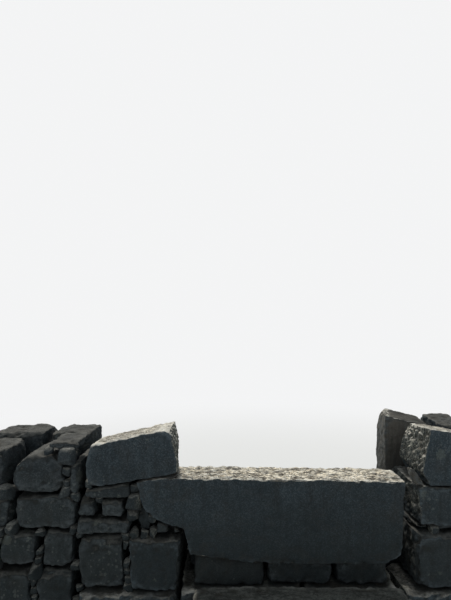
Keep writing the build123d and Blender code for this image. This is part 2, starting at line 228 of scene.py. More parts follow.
print("noise sample:", np.round(fractal(np.array([[0.1, 0.2, 0.3]]), 0.1, 4, 7), 4))

# %% [markdown]
# The grid that carries the stone is the skin of a box cut into small squares, drawn in or out along
# lines from the middle until it lies on the stone. It closes by itself, with no seam and no pole,
# and its squares can be small where the eye comes close and larger where nobody looks.

# %% Closed grid on a box
def box_skin(counts):
    """Lattice points on the skin of a box, from -1 to 1 each way, and the squares that join them.

    A point is on the skin if any of its three counts is the first or the last. Squares face outwards.
    """
    nx, ny, nz = counts
    grid = np.stack(np.meshgrid(*(np.arange(n + 1) for n in counts), indexing="ij"), -1)
    skin = ((grid == 0) | (grid == np.array(counts))).any(-1)
    number = np.full(skin.shape, -1)
    number[skin] = np.arange(skin.sum())
    squares = []
    for axis, end in ((0, 0), (0, nx), (1, 0), (1, ny), (2, 0), (2, nz)):
        sheet = np.take(number, end, axis=axis)
        a, b, c, d = sheet[:-1, :-1], sheet[1:, :-1], sheet[1:, 1:], sheet[:-1, 1:]
        quads = np.stack((a, b, c, d), -1).reshape(-1, 4)
        if (end > 0) == (axis == 1):
            quads = quads[:, ::-1]
        squares.append(quads)
    return grid[skin] / np.array(counts) * 2 - 1, np.concatenate(squares)


def smooth_max(values, reach):
    """reach times the log of the sum of exp(value / reach), over the last axis."""
    top = values.max(-1, keepdims=True)
    return top[..., 0] + reach * np.log(np.exp((values - top) / reach).sum(-1))


def depth_in(points, stone, reach):
    """How far points are outside a stone, first with its arrises rounded over reach and then with them sharp.
    Both are negative inside."""
    away = points @ stone["normals"].T - stone["distances"]
    inner = stone["inner"]
    if inner.any():
        notch = -smooth_max(-away[:, inner], reach)
        away = np.concatenate((away[:, ~inner], notch[:, None]), 1)
    return smooth_max(away, reach), away.max(1)


def nearness(points, stone, width):
    """From 0 out on a face to 1 at a corner: what rounding over width takes off at a point, over the most that
    it takes off where three faces meet, which is width times the log of 3."""
    blunt, sharp = depth_in(points, stone, width)
    return np.clip((blunt - sharp) / (width * math.log(3)), 0, 1)


print("squares on a 4 x 3 x 2 box:", len(box_skin((4, 3, 2))[1]))

# %% [markdown]
# Splitting and many winters take more off some corners than others. Before the stone is rounded, two
# sets of planes are added to it. Chips look in chance directions: one that looks the same way as a
# face takes nothing off it, so that the beds still meet, and one that looks at a corner takes the
# most. Facets look nearly the way a face does, and each takes a shallow wedge off one side of it, so
# the middle of the face stays proud as on a stone that was split by hand.

# %% Chips and facets
CHIPS = 46
NO_CHIP_TURN, SLANT_RANGE = 0.97, 0.4
SHALLOWEST_CHIP = 0.15
FACETS_PER_FACE = 5
FACET_LEAN = 0.13
FULL_CHIP_SIDE = 0.20


def split_and_chipped(stone, dice, cut, facet):
    """The stone with chips and facets added. A plane in direction n stands at the stone's reach in n, less a
    cut. A chip's cut grows with the angle between n and the nearest face, up to cut. A facet's is up to facet.
    Both are smaller on a stone whose shortest side is under 20 cm, in proportion."""
    share = min(1, np.ptp(stone["corners"], axis=0).min() / FULL_CHIP_SIDE)
    cut, facet = cut * share, facet * share
    faces = stone["normals"][~stone["inner"]]
    way = dice.normal(size=(CHIPS, 3))
    way /= np.linalg.norm(way, axis=1)[:, None]
    slant = np.clip((NO_CHIP_TURN - (way @ faces.T).max(1)) / SLANT_RANGE, 0, 1)
    taken = cut * slant * dice.uniform(SHALLOWEST_CHIP, 1.0, CHIPS)
    lean = dice.normal(size=(len(faces) * FACETS_PER_FACE, 3)) * FACET_LEAN
    lean += np.repeat(faces, FACETS_PER_FACE, axis=0)
    lean /= np.linalg.norm(lean, axis=1)[:, None]
    way = np.concatenate((way, lean))
    taken = np.concatenate((taken, facet * dice.uniform(0, 1, len(lean))))
    return {
        "corners": stone["corners"],
        "normals": np.concatenate((stone["normals"], way)),
        "distances": np.concatenate((stone["distances"], (way @ stone["corners"].T).max(1) - taken)),
        "inner": np.concatenate((stone["inner"], np.zeros(len(way), bool))),
        "plain": stone,
    }


print("planes added to a stone with six faces:", CHIPS + 6 * FACETS_PER_FACE)

# %% [markdown]
# A split granite block keeps flat faces and fairly crisp arrises, while a field stone has been
# rolled and frosted, and a trodden step is worn. One set of values would make them look cast. So
# each kind of stone has its own: the size of its squares, the rounding, the deepest chip and facet,
# the height of its roughness, how far its arrises have crumbled, the furrows in what faces up, the
# roughness of the cheeks that face the gap, and how far the stone has bleached, which also sets how
# much sunlight is painted on its top and, where it is low, how much shade. The few stones that the
# eye goes to have settings of their own, and a tone above 1 makes a stone rust-brown, painted a
# little lighter as if skylit.

# %% Kinds of stone
# The bleach setting sets bleaching and painted light: high gives a pale top painted sunlit, low leaves a dark
# crust painted as shade on top.
KINDS = {
    "slab": {"square": (0.006, 0.005, 0.006), "reach": 0.003, "cut": 0.004, "facet": 0.0025, "rough": 0.0020,
             "crumble": 0.006, "furrow": 0.0105, "hackly": 0.002, "bleach_and_light": 1.0, "tone": 0.45},
    "step": {"square": (0.010, 0.010, 0.010), "reach": 0.005, "cut": 0.018, "facet": 0.006, "rough": 0.0032,
             "crumble": 0.006, "furrow": 0.002, "hackly": 0.003, "bleach_and_light": 0.45},
    "block": {"square": (0.0075, 0.009, 0.0075), "reach": 0.0045, "cut": 0.034, "facet": 0.012, "rough": 0.0048,
              "crumble": 0.006, "furrow": 0.003, "hackly": 0.007, "bleach_and_light": 0.35},
    "rubble": {"square": (0.009, 0.012, 0.009), "reach": 0.0045, "cut": 0.062, "facet": 0.020, "rough": 0.0070,
               "crumble": 0.006, "furrow": 0.002, "hackly": 0.007, "bleach_and_light": 0.14},
}
SLAB_NODES = {"stile_slab"}
STEP_NODES = {"near_step_tread", "near_step_risers", "far_step_tread", "far_step_risers", "rear_sill",
              "threshold_base", "slab_footings"}
BLOCK_NODES = {"left_top_block", "left_lower_block", "left_base_block", "left_back_base", "left_back_lower",
               "left_back_block", "right_top_block", "right_middle_block", "right_lower_block", "right_base_block",
               "right_back_base", "right_back_lower", "right_back_block", "right_back_upright"}
BROWN_TONE = 2.0
OWN_SETTINGS = {
    "left_top_block": {"square": (0.0055, 0.006, 0.0055), "reach": 0.0025, "cut": 0.003, "facet": 0.002,
                       "rough": 0.0030, "crumble": 0.003, "furrow": 0.0080, "hackly": 0.010, "bleach_and_light": 1.0},
    "right_top_block": {"square": (0.0055, 0.0050, 0.0055), "reach": 0.0025, "cut": 0.003, "facet": 0.002,
                        "rough": 0.0036, "crumble": 0.003, "furrow": 0.005, "hackly": 0.015, "bleach_and_light": 0.8},
    "right_middle_block": {"square": (0.0065, 0.0065, 0.0065), "reach": 0.003, "cut": 0.012, "facet": 0.005,
                           "rough": 0.0040, "hackly": 0.015, "bleach_and_light": 0.5},
    # These stones bleach little, so their tops carry the painted shade of the dark crust.
    "right_back_block": {"bleach_and_light": 0.08},
    "right_lower_block": {"bleach_and_light": 0.06},
    "left_lower_block": {"bleach_and_light": 0.10},
    "right_back_upright": {"reach": 0.003, "cut": 0.004, "facet": 0.003, "rough": 0.0040, "crumble": 0.003,
                           "hackly": 0.004, "bleach_and_light": 0.04, "tone": BROWN_TONE},
    "right_wedge_stone": {"square": (0.005, 0.006, 0.005), "reach": 0.003, "cut": 0.006, "facet": 0.003,
                          "rough": 0.0036, "hackly": 0.002, "bleach_and_light": 0.04, "tone": BROWN_TONE},
}


def kind_of(node):
    """Which of the four kinds of stone a node is."""
    for kind, members in (("slab", SLAB_NODES), ("step", STEP_NODES), ("block", BLOCK_NODES)):
        if node in members:
            return kind
    return "rubble"


def settings_of(node):
    """The settings of a node's kind of stone, with the node's own settings over them."""
    return KINDS[kind_of(node)] | OWN_SETTINGS.get(node, {})


# %% Chip every stone
CHIP_SEED = 1000

bodies = {}
for number, node in enumerate(sorted(stones)):
    own = settings_of(node)
    dice = np.random.default_rng(CHIP_SEED + number)
    bodies[node] = [split_and_chipped(stone, dice, own["cut"], own["facet"]) for stone in stones[node]]
print("planes in all:", sum(len(body["normals"]) for found in bodies.values() for body in found))

# %% [markdown]
# To lay the grid on a stone, each of its points is moved along its line from the middle. No short
# formula says where that line meets a rounded, chipped body, so the place is halved onto. Fifteen
# halvings come within a few hundredths of a millimetre, and they work on all points at once.

# %% Lay the grid on a stone
HALVINGS = 15
FARTHEST = 1.1
SLOPE_STEP = 0.05


def drawn_onto(body, arms, middle, reach):
    """Points on the rounded body along lines from its middle. Each line's share is halved onto depth zero."""
    near, far = np.zeros(len(arms)), np.full(len(arms), FARTHEST)
    for _ in range(HALVINGS):
        half = (near + far) / 2
        outside = depth_in(middle + arms * half[:, None], body, reach)[0] > 0
        far = np.where(outside, half, far)
        near = np.where(outside, near, half)
    return middle + arms * near[:, None]


def outward(body, points, reach):
    """Unit normals: the slope of the rounded depth, from its value a little to each side of the point."""
    slope = [
        depth_in(points + side, body, reach)[0] - depth_in(points - side, body, reach)[0]
        for side in np.eye(3) * (reach * SLOPE_STEP)
    ]
    slope = np.stack(slope, 1)
    return slope / np.maximum(np.linalg.norm(slope, axis=1)[:, None], 1e-12)


print("halving ends within", round(FARTHEST / 2**HALVINGS, 6), "of a line's length")

# %% [markdown]
# What weather does to a face depends on where it looks. On top, frost opens furrows along the
# bedding, which runs lengthwise. Beside the gap the stone is hackly, broken into small splinters.
# Bump alone would paint this on and leave the outline smooth, so the points themselves move.

# %% What weather takes off
FURROW_WAY, FINE_FURROW_WAY = (0.28, 1.0, 0.6), (1.6, 1.0, 1.0)
GRAIN_WAY = (1.0, 1.25, 0.55)
SPLINTER_SIZE, SPLINTER_BLEND = 0.016, 0.04


def furrows(points, seed):
    """Frost furrows, from 0 to 1: one minus the absolute value of noise that is drawn out along X, raised to a
    power so that the crests stay broad, with finer furrows laid over them."""
    drawn = points * np.array(FURROW_WAY)
    wide = 1 - np.abs(noise(drawn, 0.022, seed) + 0.4 * noise(points, 0.03, seed + 1))
    fine = 1 - np.abs(noise(drawn * np.array(FINE_FURROW_WAY), 0.011, seed + 2))
    return np.clip(0.65 * wide**3 + 0.35 * fine**3, 0, 1)


def splinters(points, seed):
    """How deep the splintered cheeks go in: how far drawn-out broken rock lies under 0.55, up to 1.2."""
    relief = broken(points * GRAIN_WAY, SPLINTER_SIZE, seed, SPLINTER_BLEND)
    return np.clip(0.55 - (relief + 0.35 * fractal(points, 0.012, 2, seed + 10)), 0, 1.2)


def split_face(points, seed):
    """Relief of a split face: broken rock at two sizes, with fine noise over it."""
    relief = 0.8 * broken(points, 0.105, seed) + 0.5 * broken(points, 0.040, seed + 10)
    return relief + 0.30 * fractal(points, 0.015, 3, seed + 20)


print("furrow sample:", np.round(furrows(np.array([[0.1, 0.2, 0.3]]), 7), 4))

# %% [markdown]
# The mesh of a stone carries four numbers at each point for the finish: how near an arris it is, how
# deep it lies in a hollow, one tone for the whole stone, and how far the stone has bleached, which
# also sets the painted sunlight on its top and, where it is low, the painted shade. Only the mesh
# knows them, so it hands them on to the material as an attribute.

# %% Weathered stone
FEWEST_SQUARES = 3
ARRIS_WIDTH = 0.016
RIM_WIDTH = 0.020
EVEN = 0.15
FURROW_EVEN = 0.40
PROUDEST = 0.0035
RAGGED = 0.8
BED_DIRT = 0.025
CHEEKS_FROM = 0.49


def weathered(body, seed, own):
    """Points, squares and finish values of one stone: a box skin drawn onto the rounded body, then moved
    along its normals by broken relief at two sizes, fine noise, a loss that grows towards the arrises, and
    furrows where it faces up. A cheek that faces the gap has finer relief of its own."""
    reach, rough, crumble, furrow, hackly = (own[key] for key in ("reach", "rough", "crumble", "furrow", "hackly"))
    low, high = body["corners"].min(0), body["corners"].max(0)
    counts = np.maximum(np.round((high - low) / np.array(own["square"])).astype(int), FEWEST_SQUARES)
    skin, quads = box_skin(tuple(counts))
    points = drawn_onto(body, skin * (high - low) / 2, (low + high) / 2, reach)
    normal = outward(body, points, reach)
    worn = np.clip(0.4 + 0.9 * fractal(points, 0.035, 2, seed + 31), 0, 1.4)
    worn = nearness(points, body, ARRIS_WIDTH) ** 2 * worn
    looks_up = np.clip((normal[:, 2] - 0.5) / 0.4, 0, 1)
    to_gap = np.clip((-np.sign(points[:, 0]) * normal[:, 0] - 0.5) / 0.35, 0, 1)
    to_gap = to_gap * (np.abs(points[:, 0]) > CHEEKS_FROM)
    cut_in = furrow * looks_up * (furrows(points, seed + 41) - FURROW_EVEN)
    cut_in = cut_in + hackly * to_gap * splinters(points, seed + 51)
    height = np.minimum(rough * (split_face(points, seed + 1) - EVEN) - crumble * worn, PROUDEST) - cut_in
    hollow = np.clip(-height / (rough * 1.8 + furrow * looks_up + hackly * to_gap) - 0.1, 0, 1)
    edge = nearness(points, body["plain"], RIM_WIDTH)
    ragged = np.clip(0.3 + 1.1 * fractal(points, 0.030, 3, seed + 71), 0, 1.3)
    height = height - np.clip(edge * 1.6, 0, 1) ** 2 * ragged * crumble * RAGGED
    tone, luck = np.random.default_rng(seed).uniform(0, 1, 2)
    tone = own.get("tone", tone)
    # The stone's share of bleaching, which is also its share of painted sunlight on top and, where low, of painted
    # shade.
    bleached_and_lit = min(1, own["bleach_and_light"] * (0.7 + 0.6 * luck)) if own["bleach_and_light"] < 1 else 1
    above_bed = np.clip((points[:, 2] - low[2] - BED_DIRT) / BED_DIRT, 0, 1)
    finish = np.stack((edge, hollow, np.full(len(points), tone), bleached_and_lit * above_bed), 1)
    return points + normal * height[:, None], quads, finish


def mesh_piece(name, parts):
    """One mesh object from several (points, squares, finish) parts, joined end to end."""
    points = np.concatenate([p for p, _, _ in parts])
    starts = np.cumsum([0] + [len(p) for p, _, _ in parts[:-1]])
    quads = np.concatenate([q + start for (_, q, _), start in zip(parts, starts)])
    finish = np.concatenate([f for _, _, f in parts])
    mesh = bpy.data.meshes.new(name)
    mesh.vertices.add(len(points))
    mesh.vertices.foreach_set("co", points.astype(np.float32).reshape(-1))
    mesh.loops.add(quads.size)
    mesh.loops.foreach_set("vertex_index", quads.reshape(-1).astype(np.int32))
    mesh.polygons.add(len(quads))
    mesh.polygons.foreach_set("loop_start", np.arange(0, quads.size, 4, dtype=np.int32))
    mesh.update(calc_edges=True)
    mesh.shade_smooth()
    layer = mesh.color_attributes.new("stone", "FLOAT_COLOR", "POINT")
    layer.data.foreach_set("color", finish.astype(np.float32).reshape(-1))
    piece = bpy.data.objects.new(name, mesh)
    bpy.context.scene.collection.objects.link(piece)
    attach(piece, "root")
    return piece


# %% [markdown]
# Only what lies open to sun and rain has bleached, and what lies close under another stone is painted
# as in that stone's shadow. A ray cast up from every point would find that out slowly. Instead, a point
# counts as covered where a neighbouring stone lies close above it, which its depth in that stone's
# planes tells at once, and its share of bleaching goes to nothing, which paints a cast shadow there.

# %% Dress every stone
SHELTER = ((1.0, 0.012), (0.9, 0.030), (0.6, 0.055))
SHELTER_MARGIN, SHELTER_FADE = 0.01, 0.012
NEAR_REACH = 0.004
STONE_SEED, SEED_STEP = 5000, 97
dressed = {}


def shaded_from_above(node, points):
    """From 0 in the open to 1 under another stone, found at a few heights over the points: a painted shadow."""
    shade_above = np.zeros(len(points))
    for body in (body for other in bodies if other != node for body in bodies[other]):
        low, high = body["corners"].min(0) - SHELTER_MARGIN, body["corners"].max(0) + SHELTER_MARGIN
        for weight, rise in SHELTER:
            above = points + (0, 0, rise)
            near = ((above > low) & (above < high)).all(1)
            if near.any():
                depth = depth_in(above[near], body, NEAR_REACH)[0]
                shade_above[near] = np.maximum(shade_above[near], weight * np.clip(0.5 - depth / SHELTER_FADE, 0, 1))
    return shade_above


for number, node in enumerate(sorted(bodies)):
    own = settings_of(node)
    first_seed = STONE_SEED + SEED_STEP * number
    parts = [weathered(body, first_seed + i, own) for i, body in enumerate(bodies[node])]
    for points, _, finish in parts:
        # Painted shadow: where another stone lies close above, the pale top is taken away.
        finish[:, 3] *= 1 - shaded_from_above(node, points)
    dressed[node] = mesh_piece(f"{node}_stone", parts)
    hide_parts(node)
squares = {node: len(piece.data.polygons) for node, piece in dressed.items()}
print("stones dressed:", len(dressed), "squares:", sum(squares.values()), "most:", max(squares.values()))

# %% [markdown]
# A wall is built of big stones and held tight by small ones. Pinnings fill the holes that chipped
# corners leave. To find the holes, a sheet of sample points is laid a little behind each face of the
# wall, and the distance from every point to the nearest stone is measured. The widest holes get a
# pinning first, as a mason would do it, and each takes the sample points that it covers.

# %% Measure the holes
SAMPLE_STEP = 0.006
FAR_OFF = 0.08
every_body = [body for node in sorted(bodies) for body in bodies[node]]


def hole_depth(points):
    """How far points are from the nearest stone, capped at 8 cm. Only stones whose box comes near are read."""
    depth = np.full(len(points), FAR_OFF)
    for body in every_body:
        low, high = body["corners"].min(0) - FAR_OFF, body["corners"].max(0) + FAR_OFF
        near = ((points > low) & (points < high)).all(1)
        if near.any():
            depth[near] = np.minimum(depth[near], depth_in(points[near], body, NEAR_REACH)[0])
    return depth


def walled_in(depth):
    """True where a sheet's sample has stone both left and right, above and below on the sheet."""
    stone = depth < 0
    left = np.maximum.accumulate(stone, 0)
    right = np.maximum.accumulate(stone[::-1], 0)[::-1]
    below = np.maximum.accumulate(stone, 1)
    above = np.maximum.accumulate(stone[:, ::-1], 1)[:, ::-1]
    return left & right & below & above


print("stones to measure from:", len(every_body))

# %% [markdown]
# The gap and the joints round the slab are open on the real stile, so no pinning goes there.

# %% Choose the holes
SMALLEST_HOLE = 0.009
MOST_HOLES = 150
GAP_HALF = 0.500
GAP_FROM, GAP_TO = -0.505, 0.565
TAIL_FROM, TAIL_TOP = -0.640, 0.770
SLAB_HALF, SLAB_BACK, SLAB_FOOT = 0.56, -0.10, 0.45


def kept_open(points, along_wall):
    """True beside the slab and, on sheets that run along the wall, in the gap and over the slab's tail."""
    x, y, z = (points[..., k] for k in range(3))
    in_gap = (x > GAP_FROM) & (x < GAP_TO)
    over_tail = (x > TAIL_FROM) & (x < GAP_HALF) & (z > TAIL_TOP)
    return ((in_gap | over_tail) & along_wall) | ((np.abs(x) < SLAB_HALF) & (y < SLAB_BACK) & (z > SLAB_FOOT))


def holes_on(origin, across, span, low_z, high_z):
    """Centres and radii of the holes on an upright sheet from origin along across, widest first."""
    a, z = np.meshgrid(np.arange(0, span, SAMPLE_STEP), np.arange(low_z, high_z, SAMPLE_STEP), indexing="ij")
    points = np.array(origin) + a[..., None] * np.array(across)
    points[..., 2] = z
    depth = hole_depth(points.reshape(-1, 3)).reshape(a.shape)
    ok = walled_in(depth) & (depth > SMALLEST_HOLE) & ~kept_open(points, across[0] > 0)
    flat, size = points[ok], depth[ok]
    order = np.argsort(-size)
    flat, size = flat[order], size[order]
    chosen = []
    free = np.ones(len(flat), bool)
    while free.any() and len(chosen) < MOST_HOLES:
        first = int(np.argmax(free))
        chosen.append((flat[first], size[first]))
        free &= np.linalg.norm(flat - flat[first], axis=1) > size[first] * 1.6 + 0.014
    return chosen


# %% Find the holes on each side of the wall
BEHIND = 0.042
WALL_HALF = 0.300
WALL_LENGTH = 3.0
SHEET_LOW, SHEET_HIGH = 0.02, 1.0

wall_left, wall_right = cad_box[0][0], cad_box[1][0]
sheets = {
    "near": ((wall_left, -WALL_HALF + BEHIND, 0), (1, 0, 0), WALL_LENGTH),
    "far": ((wall_left, WALL_HALF - BEHIND, 0), (1, 0, 0), WALL_LENGTH),
}
for name, x in (("left_end", wall_left + BEHIND), ("right_end", wall_right - BEHIND),
                ("left_reveal", -GAP_HALF - BEHIND), ("right_reveal", GAP_HALF + BEHIND)):
    sheets[name] = ((x, -WALL_HALF, 0), (0, 1, 0), 2 * WALL_HALF)
holes = {name: holes_on(*sheet, SHEET_LOW, SHEET_HIGH) for name, sheet in sheets.items()}
print("holes:", {name: len(found) for name, found in holes.items()})

# %% [markdown]
# Every pinning is a small angular stone. It is made as the big stones are, from planes in chance
# directions, but with far fewer squares, because there are hundreds. Its long way runs into the wall.

# %% Pinnings
PINNING_SIDES = 11
PINNING_SQUARES = 6
PINNING_REACH = (0.75, 1.35)
PINNING_LENGTH = 0.9
PINNING_ARRIS, PINNING_HOLLOW, PINNING_BLEACH_AND_LIGHT = 0.35, 0.2, 0.4
PINNING_FIT, SET_BACK = 0.003, 0.004
PINNING_SEED = 300


def pinning(centre, size, inward, dice):
    """A small stone: planes in chance directions at about size from the centre, stretched along inward."""
    way = dice.normal(size=(PINNING_SIDES, 3))
    way /= np.linalg.norm(way, axis=1)[:, None]
    away = size * dice.uniform(*PINNING_REACH, len(way)) * (1 + PINNING_LENGTH * np.abs(way @ np.array(inward)))
    skin, quads = box_skin((PINNING_SQUARES,) * 3)
    body = {"normals": way, "distances": away, "inner": np.zeros(len(way), bool)}
    arms = skin * size * (1.15 + PINNING_LENGTH * np.abs(inward))
    points = drawn_onto(body, arms, np.zeros(3), size * 0.02)
    points = points + size * 0.05 * fractal(points, size * 0.8, 2, int(dice.integers(1, 9999)))[:, None]
    finish = np.tile((PINNING_ARRIS, PINNING_HOLLOW, dice.uniform(0, 1), PINNING_BLEACH_AND_LIGHT), (len(points), 1))
    return points + centre, quads, finish


pinnings = {}
for number, (name, found) in enumerate(holes.items()):
    dice = np.random.default_rng(PINNING_SEED + number)
    inward = np.cross(sheets[name][1], (0, 0, 1))
    parts = []
    for centre, size in found:
        back = np.array(inward) * dice.uniform(-SET_BACK, SET_BACK)
        parts.append(pinning(centre + back, size + PINNING_FIT, inward, dice))
    if parts:
        pinnings[name] = mesh_piece(f"{name}_pinnings", parts)
print("pinning squares:", sum(len(p.data.polygons) for p in pinnings.values()))

# %% [markdown]
# Granite is a mix of pale feldspar, glassy quartz and black mica. Out of doors its upper faces bleach
# to cream while its sides stay dark with damp and lichen; here the cream is also painted sunlight and
# the dark sides are also painted shade. All of these are masks that several finishes use, so each is a
# node group with its own inputs. Linking nodes one by one would fill pages, so the helpers below make a
# node and link it in one line.

# %% Helpers that make nodes
FLOAT, COLOUR, VECTOR = "NodeSocketFloat", "NodeSocketColor", "NodeSocketVector"


def new_node(tree, kind, values=None, **settings):
    """A node of one kind, with its settings, and its inputs set or linked from values."""
    made = tree.nodes.new(kind)
    for name, value in settings.items():
        setattr(made, name, value)
    for key, value in (values or {}).items():
        if isinstance(value, bpy.types.NodeSocket):
            tree.links.new(value, made.inputs[key])
        else:
            made.inputs[key].default_value = value
    return made


def group(name, inputs, outputs):
    """A new shader node group with the named sockets: its tree, its input sockets and its output sockets."""
    tree = bpy.data.node_groups.new(name, "ShaderNodeTree")
    for way, sockets in (("INPUT", inputs), ("OUTPUT", outputs)):
        for socket, kind in sockets.items():
            tree.interface.new_socket(socket, in_out=way, socket_type=kind)
    return tree, tree.nodes.new("NodeGroupInput").outputs, tree.nodes.new("NodeGroupOutput").inputs


def used(tree, shared, values):
    """The outputs of a shared group placed in a tree, with its inputs set or linked from values."""
    return new_node(tree, "ShaderNodeGroup", values, node_tree=shared).outputs


def blank_tree(owner):
    """The node tree of a material or a world, emptied."""
    owner.use_nodes = True
    owner.node_tree.nodes.clear()
    return owner.node_tree


def ramp(tree, value, low, high, from_value=0.0, to_value=1.0):
    """A smooth step from one value to another as the input goes from low to high."""
    values = {0: value, 1: low, 2: high, 3: from_value, 4: to_value}
    return new_node(tree, "ShaderNodeMapRange", values, interpolation_type="SMOOTHSTEP").outputs[0]


def maths(tree, operation, a, b=0.0):
    """One sum, product or other operation on two values."""
    return new_node(tree, "ShaderNodeMath", {0: a, 1: b}, operation=operation).outputs[0]


def times(tree, a, b):
    """The product of two values."""
    return maths(tree, "MULTIPLY", a, b)


def axis(tree, vector, number):
    """One of the three parts of a place or a normal: 0 for X, 1 for Y, 2 for Z."""
    return new_node(tree, "ShaderNodeSeparateXYZ", {0: vector}).outputs[number]


def colour_mix(tree, share, a, b, mode="MIX"):
    """Colour b laid over colour a by share. A colour written as three numbers is made opaque."""
    made = new_node(tree, "ShaderNodeMix", data_type="RGBA", blend_type=mode)
    for key, value in (("Factor", share), ("A", a), ("B", b)):
        socket = [s for s in made.inputs if s.name == key and s.enabled][0]
        if isinstance(value, bpy.types.NodeSocket):
            tree.links.new(value, socket)
        else:
            socket.default_value = (*value, 1) if isinstance(value, tuple) else value
    return [s for s in made.outputs if s.enabled][0]


def grey(tree, value):
    """A grey colour of the given value."""
    return new_node(tree, "ShaderNodeCombineColor", {0: value, 1: value, 2: value}).outputs[0]


# %% Helpers that make patterns
def noise_at(tree, place, scale, detail=4.0, roughness=0.55):
    """The value of a noise texture with waves of about 1 / scale metres."""
    values = {"Vector": place, "Scale": scale, "Detail": detail, "Roughness": roughness}
    return new_node(tree, "ShaderNodeTexNoise", values).outputs[0]


def off_middle(tree, place, *waves):
    """How far a noise is above its middle value, below zero where it is under it."""
    return maths(tree, "SUBTRACT", noise_at(tree, place, *waves), 0.5)


def stretched(tree, place, scale):
    """The place with each of its axes scaled, so that a pattern read from it is stretched."""
    return new_node(tree, "ShaderNodeMapping", {"Vector": place, "Scale": scale}).outputs[0]


def threads(tree, place, wide, fine, waves, fainter):
    """Thin lines that wander and fork, where noise passes its middle value. wide and fine are each a scale
    and the half width of the lines, and the fine ones are fainter."""
    lines = [
        ramp(tree, maths(tree, "ABSOLUTE", off_middle(tree, place, scale, *waves)), 0.0, half_width, 1.0, 0.0)
        for scale, half_width in (wide, fine)
    ]
    return maths(tree, "MAXIMUM", lines[0], times(tree, lines[1], fainter))

# %% [markdown]
# Granite grain. From two metres its crystals are only just seen as a speckle, and larger clouds of
# lighter and darker stone carry the look, with a brown cast where iron has come out.

# %% Granite grain
granite, given, out = group(
    "granite_grain",
    {"Place": VECTOR, "Base": COLOUR, "Pale": COLOUR, "Mica": COLOUR, "Rust": COLOUR, "Contrast": FLOAT,
     "Clouds": FLOAT},
    {"Color": COLOUR, "Crystal": FLOAT},
)
crystals = new_node(granite, "ShaderNodeTexVoronoi", {"Vector": given["Place"], "Scale": 260.0})
crystal = new_node(granite, "ShaderNodeSeparateColor", {0: crystals.outputs["Color"]}).outputs
pale_share = times(granite, ramp(granite, crystal[0], 0.5, 0.9), given["Contrast"])
mica_share = times(granite, ramp(granite, crystal[1], 0.78, 0.9), given["Contrast"])
cloud = ramp(granite, noise_at(granite, given["Place"], 26.0, 7.0, 0.62), 0.28, 0.74, -0.34, 0.34)
broad = ramp(granite, noise_at(granite, given["Place"], 6.0, 3.0), 0.3, 0.7, -0.20, 0.20)
clouds = times(granite, maths(granite, "ADD", cloud, broad), given["Clouds"])
rust = ramp(granite, noise_at(granite, given["Place"], 9.0, 5.0, 0.6), 0.50, 0.74, 0.0, 0.30)
tinted = colour_mix(granite, rust, given["Base"], given["Rust"])
tinted = colour_mix(granite, pale_share, tinted, given["Pale"])
tinted = colour_mix(granite, mica_share, tinted, given["Mica"])
shade = grey(granite, maths(granite, "ADD", clouds, 1.0))
granite.links.new(colour_mix(granite, 1.0, tinted, shade, "MULTIPLY"), out["Color"])
granite.links.new(crystal[0], out["Crystal"])
print("group:", granite.name, "with", len(granite.nodes), "nodes")

# %% [markdown]
# Bleaching and painted light. Sun and rain whiten what looks up, and the pale skin also paints sunlight
# on the tops, so the masks read the upward part of the normal, with noise added so that their edges are
# ragged. Mask is the pale skin. Brow is narrower and tells where an arris may show a pale rim, partly a
# painted highlight. Crust is wider: the dark growth on stones that haven't bleached, which also paints
# shade on their tops.

# %% Bleached and sunlit top
bleach_and_light, given, out = group(
    "bleached_and_sunlit_top", {"Place": VECTOR, "From": FLOAT, "Full": FLOAT}, {"Mask": FLOAT, "Brow": FLOAT, "CrustAndShade": FLOAT}
)
up = axis(bleach_and_light, new_node(bleach_and_light, "ShaderNodeNewGeometry").outputs["Normal"], 2)
ragged_up = maths(bleach_and_light, "ADD", up, times(bleach_and_light, off_middle(bleach_and_light, given["Place"], 38.0, 6.0, 0.65), 0.9))
bleach_and_light.links.new(ramp(bleach_and_light, ragged_up, given["From"], given["Full"]), out["Mask"])
bleach_and_light.links.new(ramp(bleach_and_light, ragged_up, 0.40, 0.68), out["Brow"])
# The crust mask also paints shade on the tops of stones that haven't bleached.
spread = ramp(bleach_and_light, noise_at(bleach_and_light, given["Place"], 12.0, 4.0, 0.6), 0.34, 0.60, 0.55, 1.0)
bleach_and_light.links.new(times(bleach_and_light, ramp(bleach_and_light, ragged_up, 0.05, 0.50), spread), out["CrustAndShade"])
print("group:", bleach_and_light.name, "gives", out.keys()[:3])

# %% [markdown]
# Crumbs. Frost has broken the bleached skin into crumbs a centimetre or two across, with dark
# crevices between them, whose darkness is partly painted shadow. Voronoi cells would give them straight
# sides. Here the crevices run where noise passes its middle value, so they wander, fork and end as
# cracks do.

# %% Crumbled skin
crumbs, given, out = group("crumbled_skin", {"Place": VECTOR}, {"Crevice": FLOAT, "Crumb": FLOAT})
wavy = stretched(crumbs, given["Place"], (0.42, 1.0, 1.0))
crevices = threads(crumbs, wavy, (34.0, 0.036), (64.0, 0.045), (3.0, 0.6), 0.8)
here = ramp(crumbs, noise_at(crumbs, given["Place"], 17.0, 3.0), 0.36, 0.58, 0.35, 1.0)
crumbs.links.new(times(crumbs, crevices, here), out["Crevice"])
crumbs.links.new(ramp(crumbs, noise_at(crumbs, wavy, 80.0, 3.0, 0.6), 0.44, 0.60), out["Crumb"])
print("group:", crumbs.name, "with", len(crumbs.nodes), "nodes")

# %% [markdown]
# Cheeks. The faces on both sides of the gap are rubbed by everyone who climbs through, so they stay
# rawer and paler than the rest, and their paleness is also painted sunlight, as if the sun grazed them.
# Pale veins where splinters came off are partly painted highlights on lit splinters. The mask is full
# where the normal points at the gap's middle, close beside the gap, and noise leaves some dark skin on.

